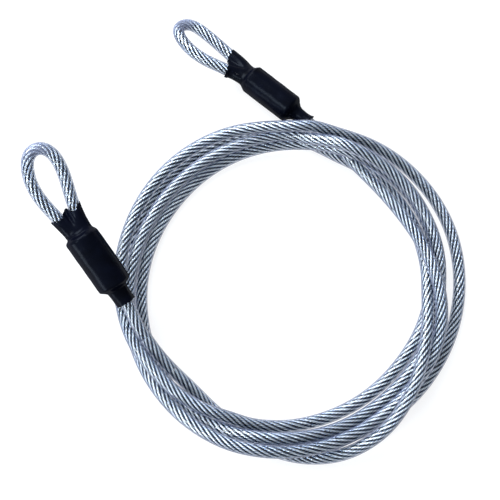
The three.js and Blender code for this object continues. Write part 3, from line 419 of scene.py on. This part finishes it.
RUNS = {               # piece: (from, to) along the cable
    "left": (0.0, LEFT_TO),
    "link": (LEFT_TO, LINK_TO),
    "coil": (LINK_TO, COIL_TO),
    "top": (COIL_TO, float(ARC[-1])),
}
HINGES = {             # piece: (first body, second body, bend starts, bend ends)
    "left": ("left_link", "left_end", SWING_AT + BEND, SWING_AT - BEND),
    "link": ("coil", "left_link", LIFT_AT + BEND, LIFT_AT - BEND),
    "top": ("coil", "top_end", TOP_AT - BEND, TOP_AT + BEND),
}


def stations(run, coarse):
    """Distances along a run, finer round the eyes and in the bends."""
    want = np.clip(TURN_PER_RING / np.maximum(CURVE, 1e-6), FINE_STEP, coarse)
    near = np.min([np.abs(ARC - hinge) for hinge in (SWING_AT, LIFT_AT, TOP_AT)], axis=0)
    want = np.where(near < HINGE_REACH, FINE_STEP, want)
    density = np.r_[0, np.cumsum(LINE_STEP / want)]
    grid = np.r_[ARC, ARC[-1] + LINE_STEP]
    first, last = np.interp(RUNS[run], grid, density)
    count = max(3, int(round(last - first)) + 1)
    return np.interp(np.linspace(first, last, count), density, grid)


# ---- mesh ----------------------------------------------------------------------
def new_mesh(name, rings, along=None, shades=None, closed_loop=False):
    """Skin an (n, m, 3) array of rings in millimetres.

    Each ring runs anticlockwise about the way the rings advance. The last ring
    joins the first in a closed loop; otherwise both ends are capped.
    """
    n, m = rings.shape[:2]
    i, k = np.meshgrid(np.arange(n if closed_loop else n - 1), np.arange(m), indexing="ij")
    k1 = (k + 1) % m
    i1 = (i + 1) % n
    corners = [i * m + k, i * m + k1, i1 * m + k1, i1 * m + k]
    faces = np.stack(corners, axis=-1).reshape(-1, 4).tolist()
    sides = len(faces)
    if not closed_loop:
        faces.append(list(range(m - 1, -1, -1)))
        faces.append(list(range((n - 1) * m, n * m)))
    mesh = bpy.data.meshes.new(name)
    mesh.from_pydata((rings.reshape(-1, 3) / MM_PER_M).tolist(), [], faces)
    smooth = np.ones(len(faces), bool)
    smooth[sides:] = False
    mesh.polygons.foreach_set("use_smooth", smooth)
    if along is not None:
        # u goes once round, v is the distance along; the caps have none
        layer = mesh.uv_layers.new(name="UVMap")
        u0, u1 = (k / m).reshape(-1), ((k + 1) / m).reshape(-1)
        v0, v1 = along[i].reshape(-1), along[i1].reshape(-1)
        side_uv = np.stack([u0, v0, u1, v0, u1, v1, u0, v1], axis=-1).reshape(-1)
        cap_uv = np.zeros(sum(len(face) for face in faces[sides:]) * 2)
        layer.data.foreach_set("uv", np.r_[side_uv, cap_uv].astype(np.float32))
    for label, values in (shades or {}).items():
        attribute = mesh.attributes.new(label, "FLOAT", "POINT")
        attribute.data.foreach_set("value", values.reshape(-1).astype(np.float32))
    mesh.validate()
    mesh.update()
    return add_object(name, mesh)


def add_object(name, data):
    o = bpy.data.objects.new(name, data)
    bpy.context.scene.collection.objects.link(o)
    return o


# ---- materials -----------------------------------------------------------------
NOISE_RANGE = (0.3, 0.7)        # where most of a noise's values lie


class Shader:
    """Adds shader nodes to a tree."""

    def __init__(self, tree):
        self.tree = tree

    def add(self, kind, *slots, **values):
        """A node; each value is a setting, or a number or socket for an input."""
        node = self.tree.nodes.new("ShaderNode" + kind)
        for key, value in [*values.items(), *enumerate(slots)]:
            if isinstance(key, str) and hasattr(node, key):
                setattr(node, key, value)
                continue
            socket = node.inputs[key.replace("_", " ") if isinstance(key, str) else key]
            if isinstance(value, bpy.types.NodeSocket):
                self.tree.links.new(value, socket)
            else:
                socket.default_value = value
        return node

    def shader(self, kind, **values):
        return self.add(kind, **values).outputs[0]

    def mix(self, share, first, second):
        return self.add("MixShader", share, first, second).outputs[0]

    def math(self, operation, a, b):
        return self.add("Math", a, b, operation=operation).outputs[0]

    def remap(self, value, to, source=NOISE_RANGE):
        return self.add(
            "MapRange", Value=value,
            From_Min=source[0], From_Max=source[1], To_Min=to[0], To_Max=to[1],
        ).outputs["Result"]


class Surface(Shader):
    """A new material, textured in object coordinates."""

    def __init__(self, name, viewport):
        self.material = bpy.data.materials.new(name)
        self.material.use_nodes = True
        self.material.diffuse_color = viewport
        super().__init__(self.material.node_tree)
        self.tree.nodes.clear()
        self.out = self.add("OutputMaterial")
        self.coords = self.add("TexCoord").outputs["Object"]

    def noise(self, scale, detail=2.0, roughness=0.5):
        return self.add(
            "TexNoise", Scale=scale, Detail=detail, Roughness=roughness, Vector=self.coords
        ).outputs["Fac"]

    def ramp(self, value, stops):
        node = self.add("ValToRGB", Fac=value)
        elements = node.color_ramp.elements
        while len(elements) < len(stops):
            elements.new(0.5)
        for element, (place, colour) in zip(elements, stops):
            element.position = place
            element.color = (*colour, 1)
        return node.outputs["Color"]

    def mottle(self, noise, low, high):
        return self.ramp(noise, tuple(zip(NOISE_RANGE, (low, high))))

    def bump(self, height, strength, distance):
        return self.add(
            "Bump", Strength=strength, Distance=distance, Height=height
        ).outputs["Normal"]

    def facing(self):
        """0 where the surface faces the eye, 1 where it is edge-on."""
        return self.add("LayerWeight", Blend=0.5).outputs["Facing"]

    def attribute(self, name):
        return self.add("Attribute", attribute_name=name).outputs["Fac"]

    def finish(self, shader):
        self.tree.links.new(shader, self.out.inputs["Surface"])
        return self.material


def jacket_material():
    m = Surface("clear_pvc", viewport=(0.86, 0.87, 0.92, 0.35))
    facing = m.facing()
    fine = m.noise(scale=900.0)
    broad = m.noise(scale=120.0)
    tint = (
        (0.0, (0.96, 0.97, 0.99)), (0.4, (0.9, 0.915, 0.96)),
        (0.8, (0.62, 0.65, 0.78)), (1.0, (0.45, 0.47, 0.62)),
    )
    ripples = m.math("ADD", m.math("MULTIPLY", fine, 0.15), broad)
    skin = m.shader(
        "BsdfPrincipled", Base_Color=m.ramp(facing, tint), Transmission_Weight=1.0, IOR=1.5,
        Roughness=m.remap(broad, to=(0.05, 0.11)),
        Normal=m.bump(ripples, strength=0.05, distance=0.0003),
    )
    clear = m.shader("BsdfTransparent", Color=(0.95, 0.955, 0.975, 1))
    # the wall is seen edge-on at the rim, where the plastic's haziness adds up and a dark lilac painted
    # shade stands in for the dimmer reflection there and in the grooves where passes meet; and it is mixed
    # towards a pale blue-grey where it is bent tightly
    haze_and_painted_rim_shade = m.shader(
        "BsdfPrincipled", Base_Color=m.mottle(broad, (0.08, 0.1, 0.18), (0.11, 0.134, 0.23)),
        Roughness=0.22, Specular_IOR_Level=0.5,
    )
    bend_pale = m.shader("BsdfPrincipled", Base_Color=(0.3, 0.33, 0.47, 1), Roughness=0.08)
    rim = m.mix(m.remap(facing, source=(0.3, 0.66), to=(0.0, 0.86)), skin, haze_and_painted_rim_shade)
    bend_paleness = m.math("MULTIPLY", m.attribute("bent"), m.remap(broad, to=(0.3, 0.55)))
    cloud = m.mix(bend_paleness, rim, bend_pale)
    # shadows and bounced light pass straight through
    path = m.add("LightPath").outputs
    passing = m.math("MAXIMUM", path["Is Shadow Ray"], path["Is Diffuse Ray"])
    return m.finish(m.mix(passing, cloud, clear))


def strand_material():
    m = Surface("galvanised_strand", viewport=(0.72, 0.73, 0.76, 1))
    # painted shade in the grooves between strands and between wires, and on the
    # crests the metal's own light grey raised to a painted highlight
    facing = m.attribute("facing")
    wire = m.attribute("wire")
    patch = m.noise(scale=260.0, detail=3.0)
    fine = m.noise(scale=2600.0, detail=3.0)
    tone = m.math("ADD", m.math("MULTIPLY", facing, 0.84), m.math("MULTIPLY", patch, 0.16))
    # painted shade: darker towards the valleys between neighbouring wires
    painted_wire_shade = m.math("MULTIPLY", m.math("SUBTRACT", wire, 1.0), 0.10)
    metal_and_painted_light = (
        (0.2, (0.004, 0.006, 0.014)), (0.58, (0.018, 0.026, 0.05)),
        (0.75, (0.3, 0.39, 0.56)), (0.85, (0.95, 1.0, 1.0)),
    )
    return m.finish(m.shader(
        "BsdfPrincipled", Metallic=1.0, Base_Color=m.ramp(m.math("ADD", tone, painted_wire_shade), metal_and_painted_light),
        Roughness=m.remap(patch, to=(0.24, 0.4)),
        Normal=m.bump(fine, strength=0.25, distance=0.00004),
    ))


def shrink_material():
    m = Surface("heat_shrink", viewport=(0.018, 0.019, 0.026, 1))
    broad = m.noise(scale=70.0, detail=3.0, roughness=0.55)
    fine = m.noise(scale=700.0, detail=3.0, roughness=0.6)
    height = m.math("ADD", m.math("MULTIPLY", fine, 0.25), m.math("MULTIPLY", broad, 1.2))
    skin = m.shader(
        "BsdfPrincipled",
        Base_Color=m.mottle(broad, (0.0008, 0.001, 0.0026), (0.002, 0.0028, 0.008)),
        Roughness=m.remap(fine, to=(0.19, 0.29)),
        IOR=1.15, Specular_Tint=(0.75, 0.86, 1.0, 1),
        Normal=m.bump(height, strength=0.3, distance=0.0005),
    )
    # matt black where it turns away
    matt = m.shader("BsdfDiffuse", Color=(0.002, 0.003, 0.008, 1))
    return m.finish(m.mix(m.remap(m.facing(), source=(0.36, 0.72), to=(0.0, 0.88)), skin, matt))


def ferrule_material():
    m = Surface("pressed_aluminium", viewport=(0.78, 0.78, 0.79, 1))
    grain = m.noise(scale=900.0, detail=4.0, roughness=0.6)
    return m.finish(m.shader(
        "BsdfPrincipled", Metallic=1.0,
        Base_Color=m.mottle(grain, (0.6, 0.6, 0.62), (0.82, 0.82, 0.83)),
        Roughness=m.remap(grain, to=(0.3, 0.5)),
        Normal=m.bump(grain, strength=0.3, distance=0.0002),
    ))


JACKET = jacket_material()
STRAND = strand_material()
SHRINK = shrink_material()
FERRULE = ferrule_material()


# ---- the cable -----------------------------------------------------------------
def finish_piece(o, material, node, run):
    o.data.materials.append(material)
    if run in HINGES:
        first, second, start, end = HINGES[run]
        start, end = (tuple(at(place)[0] / 1000) for place in (start, end))
        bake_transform(o)
    else:
        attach(o, "coil")
    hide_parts(node)


def build_jacket(run):
    a = stations(run, JACKET_STEP)
    centre, side, rise = at(a)
    angle = np.arange(JACKET_SIDES) * 2 * math.pi / JACKET_SIDES
    c, s = np.cos(angle)[None, :, None], np.sin(angle)[None, :, None]
    rings = centre[:, None] + JACKET_R * (c * side[:, None] + s * rise[:, None])
    # 0 where the cable is nearly straight, 1 in a tight bend
    bent = np.clip(np.interp(a, ARC, BROAD_CURVE) * 24 - 1.6, 0, 1)
    shades = {"bent": np.tile(bent[:, None], (1, JACKET_SIDES))}
    jacket = new_mesh(f"{run}_clear_jacket", rings, along=a, shades=shades)
    finish_piece(jacket, JACKET, f"{run}_jacket", run)


# A strand's outline has six lobes, one for each outer wire, of three points each.
LOBE_ANGLE = np.radians(np.array([-30.0, -11.0, 11.0]))
LOBE_R = WIRE_RING * np.cos(LOBE_ANGLE) + np.sqrt(
    np.maximum(WIRE_R**2 - (WIRE_RING * np.sin(LOBE_ANGLE)) ** 2, 0)
)
OUTLINE_ANGLE = (np.arange(6)[:, None] * math.pi / 3 + LOBE_ANGLE[None, :]).reshape(-1)
OUTLINE_R = np.tile(LOBE_R, 6)
OUTLINE_CREST = np.tile((LOBE_R - LOBE_R.min()) / (LOBE_R.max() - LOBE_R.min()), 6)
OVAL = 1.03             # a slanting strand is cut as an oval
SHADE_DEPTH = 0.25      # how far inside the strand centres the shade is darkest
CORE_SHADE = 0.05


def build_strand(run, a, k):
    """Strand k of six round the core; k = 6 is the core itself."""
    centre, side, rise = at(a)
    core = k == 6
    turn = 2 * math.pi * (a / STRAND_LAY + k / 6)
    # the wires turn the other way to the strands
    spin = OUTLINE_ANGLE[None, :] - 2 * math.pi * a[:, None] / WIRE_LAY
    out = (0.0 if core else STRAND_RING) + OUTLINE_R * np.cos(spin)
    across = OUTLINE_R * (1.0 if core else OVAL) * np.sin(spin)
    radial = np.cos(turn)[:, None] * side + np.sin(turn)[:, None] * rise
    sideways = -np.sin(turn)[:, None] * side + np.cos(turn)[:, None] * rise
    rings = centre[:, None] + out[..., None] * radial[:, None] + across[..., None] * sideways[:, None]
    # painted shade and highlight: strands darken inwards towards the cable's axis and brighten on their
    # outer crests, and the core is painted in shade
    depth = (np.hypot(out, across) - (STRAND_RING - SHADE_DEPTH)) / (STRAND_R + SHADE_DEPTH)
    shades = {
        "facing": np.full_like(out, CORE_SHADE) if core else np.clip(depth, 0, 1),
        "wire": np.broadcast_to(OUTLINE_CREST, out.shape),
    }
    part = "core" if core else f"strand_{k + 1}"
    strand = new_mesh(f"{run}_wire_{part}", rings, along=a, shades=shades)
    finish_piece(strand, STRAND, f"{run}_{part}", run)


for run in RUNS:
    build_jacket(run)
    strand_stations = stations(run, STRAND_STEP)
    for k in range(7):
        build_strand(run, strand_stations, k)


# ---- heat-shrink sleeves -------------------------------------------------------
ANGLE = (np.arange(SLEEVE_SIDES) + 0.5) * 2 * math.pi / SLEEVE_SIDES
COS, SIN = np.cos(ANGLE), np.sin(ANGLE)


def ease(x, a, b):
    t = np.clip((x - a) / (b - a), 0, 1)
    return t * t * (3 - 2 * t)


def table(x, rows, soft=0.3):
    """Value at x from rows of (x, value), with corners rounded over about soft."""
    rows = np.array(rows, float)
    offsets = np.linspace(-2.4, 2.4, 13)
    weights = np.exp(-0.5 * offsets**2)
    total = sum(
        w * np.interp(x + o * soft, rows[:, 0], rows[:, 1]) for o, w in zip(offsets, weights)
    )
    return total / weights.sum()


def section(end, shape, s, inset):
    """Across and down for each point of the ring at each distance s."""
    right, left = table(s, shape["right"]), table(s, shape["left"])
    half_width = ((right - left) / 2 - inset)[:, None]
    middle = ((right + left) / 2)[:, None]
    height = (table(s, shape["height"]) - inset)[:, None]
    one, two = end.legs(s)
    leg_at = np.clip(((one - two) / 2)[:, None], 3.0, half_width - 3.6)
    x = half_width * COS
    reach = np.abs(x)
    oval = height * np.abs(SIN)
    # round the two legs, with the skin drawn in to a web between them
    beyond = np.maximum(reach - leg_at, 0) / (half_width - leg_at)
    outer = np.sqrt(np.maximum(1 - beyond**2, 0)) * height
    inner = np.sqrt(np.maximum(height**2 - np.maximum(leg_at - reach, 0) ** 2, 0))
    leg = np.minimum(outer, inner)
    web = np.where(reach < leg_at, 1.5 - inset, 0)
    pair = (np.maximum(leg, 0.01) ** 4 + web**4) ** 0.25
    flat = ease(s, shape["shoulder"] + 4.0, shape["mouth"] - 1.0)[:, None]
    return middle + x, np.sign(SIN) * (oval * (1 - flat) + pair * flat)


def random_waves(rng, count, rates, lobes):
    """Rows of (rate along, lobes round, phase along, phase round)."""
    return [
        (rng.uniform(*rates), rng.integers(*lobes), rng.uniform(0, 6.28), rng.uniform(0, 6.28))
        for _ in range(count)
    ]


def wave_sum(waves, s):
    return sum(
        np.sin(rate * s[:, None] + phase) * np.cos(lobes * ANGLE + turn)
        for rate, lobes, phase, turn in waves
    )


def wrinkles(shape, s):
    """Scale of the skin: rippled, calmer on the ferrule and crumpled at its shoulder."""
    rng = np.random.default_rng(shape["seed"])
    ripple = wave_sum(random_waves(rng, 10, rates=(0.08, 0.5), lobes=(1, 6)), s * 1.7)
    pinch = wave_sum(random_waves(rng, 8, rates=(1.0, 2.6), lobes=(2, 9)), s)
    tip_to, shoulder = shape["tip_to"], shape["shoulder"]
    on_ferrule = ease(s, tip_to - 2, tip_to) * (1 - ease(s, shoulder, shoulder + 2))
    loose = (1 - on_ferrule)[:, None]
    at_shoulder = np.exp(-(((s - shoulder - 1.0) / 2.2) ** 2))[:, None]
    return 1 + ripple * 0.006 * (0.3 + 0.7 * loose) + pinch * 0.006 * at_shoulder


def cut_shift(shape, s):
    """Shift along the sleeve: the mouth is torn and slants, the tip is cut unevenly."""
    seed, mouth = shape["seed"], shape["mouth"]
    upper = 0.5 - 0.5 * SIN                    # 1 on the upper side, 0 underneath
    ragged = (
        0.25 * np.sin(9 * ANGLE + seed) + 0.2 * np.sin(17 * ANGLE + 2.0 * seed)
        + 0.15 * np.sin(31 * ANGLE)
    )
    edge = ease(s, mouth - 7, mouth)[:, None] * (table(COS, shape["cut"], soft=0.02) + ragged)
    uneven = 0.2 * np.sin(3 * ANGLE + seed) + 0.12 * np.sin(7 * ANGLE)
    return edge + (1 - ease(s, 0, 6))[:, None] * (shape["foot"] * upper + uneven)


def sleeve_rings(end, shape, s, inset=0.0, scale=1.0):
    x, y = section(end, shape, s, inset)
    along = (s[:, None] + cut_shift(shape, s))[..., None] * end.along
    return end.tip + along + (x * scale)[..., None] * end.across + (y * scale)[..., None] * end.down


def spans(*rows):
    """Distances from rows of (from, to, count)."""
    return np.unique(np.concatenate([np.linspace(*row) for row in rows]))


def sleeve(side, end, shape):
    """A tube shrunk over the ferrule and the two legs of the eye."""
    start, tip_to, shoulder, mouth = (shape[k] for k in ("start", "tip_to", "shoulder", "mouth"))
    outside = spans(
        (start, tip_to - 3, 18), (tip_to - 3, tip_to + 4, 26), (tip_to + 4, shoulder - 3, 28),
        (shoulder - 3, shoulder + 5, 34), (shoulder + 5, mouth, 34),
    )
    inside = spans(
        (start, tip_to - 2, 8), (tip_to - 1.5, tip_to + 3, 8), (tip_to + 4, shoulder - 2, 8),
        (shoulder - 1, mouth, 34),
    )
    outer = sleeve_rings(end, shape, outside, scale=wrinkles(shape, outside))
    inner = sleeve_rings(end, shape, inside, inset=SLEEVE_WALL)
    rings = np.concatenate([outer, inner[::-1]])
    o = new_mesh(f"{side}_heat_shrink", rings, closed_loop=True)
    o.data.materials.append(SHRINK)
    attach(o, f"{side}_end")
    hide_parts(f"{side}_sleeve")


sleeve("left", LEFT, LEFT_SLEEVE)
sleeve("top", TOP, TOP_SLEEVE)

for node in ("left_ferrule", "top_ferrule"):
    materials = frame["nodes"][node].data.materials
    materials.clear()
    materials.append(FERRULE)


# ---- floor, light and camera, in metres ----------------------------------------
def floor():
    half, z = 3.0, -0.0009
    corners = [(-half, -half, z), (half, -half, z), (half, half, z), (-half, half, z)]
    mesh = bpy.data.meshes.new("floor")
    mesh.from_pydata(corners, [], [(0, 1, 2, 3)])
    o = add_object("floor", mesh)
    m = Surface("pale_floor", viewport=(0.95, 0.95, 0.95, 1))
    skin = m.shader(
        "BsdfPrincipled",
        Base_Color=m.mottle(m.noise(scale=3.0), (0.93, 0.93, 0.935), (0.95, 0.95, 0.955)),
        Roughness=0.7, Specular_IOR_Level=0.1,
    )
    # lit from behind like a light table, so that shadows stay faint
    glow = m.shader("Emission", Strength=1.08)
    mesh.materials.append(m.finish(m.mix(0.72, skin, glow)))


def studio():
    """A soft studio that is brighter on the left than on the right."""
    world = bpy.data.worlds.new("studio")
    bpy.context.scene.world = world
    world.use_nodes = True
    w = Shader(world.node_tree)
    background = w.tree.nodes["Background"]
    bright_side = (-0.76, 0.3, 0.5)
    direction = w.add("TexCoord").outputs["Generated"]
    toward = w.add("VectorMath", direction, bright_side, operation="DOT_PRODUCT").outputs["Value"]
    strength = w.remap(toward, source=(-0.5, 0.95), to=(0.27, 0.98))
    w.tree.links.new(strength, background.inputs["Strength"])
    background.inputs["Color"].default_value = (0.89, 0.95, 1.02, 1)
    # the camera itself sees an even pale backdrop
    backdrop = w.shader("Background", Color=(0.95, 0.95, 0.955, 1))
    camera_ray = w.add("LightPath").outputs["Is Camera Ray"]
    seen = w.mix(camera_ray, background.outputs[0], backdrop)
    w.tree.links.new(seen, w.tree.nodes["World Output"].inputs["Surface"])


def area(name, place, target, size, watts, colour):
    data = bpy.data.lights.new(name, "AREA")
    data.shape = "RECTANGLE"
    data.size, data.size_y = size
    data.energy = watts
    data.color = colour
    o = add_object(name, data)
    o.location = place
    o.rotation_euler = (Vector(target) - Vector(place)).to_track_quat("-Z", "Y").to_euler()


def add_camera():
    data = bpy.data.cameras.new("camera")
    data.sensor_width = 36
    data.lens = 61.2
    data.clip_start = 0.01
    o = add_object("camera", data)
    o.location = (-0.001431, -0.151281, 0.553928)
    o.rotation_euler = (math.radians(14), 0, 0)
    bpy.context.scene.camera = o


floor()
studio()
area(
    "left", place=(-0.85, -0.72, 0.28), target=(0, 0, 0),
    size=(0.42, 0.3), watts=3.5, colour=(0.84, 0.93, 1.0),
)
area(
    "high", place=(-0.59, -0.36, 0.82), target=(0, 0.05, 0),
    size=(0.3, 0.3), watts=3.4, colour=(0.86, 0.94, 1.0),
)
area(
    "back", place=(-0.62, 0.72, 0.95), target=(0, 0, 0),
    size=(1.1, 0.7), watts=23.0, colour=(0.9, 0.95, 1.0),
)
add_camera()
bpy.context.scene.view_settings.view_transform = "Standard"
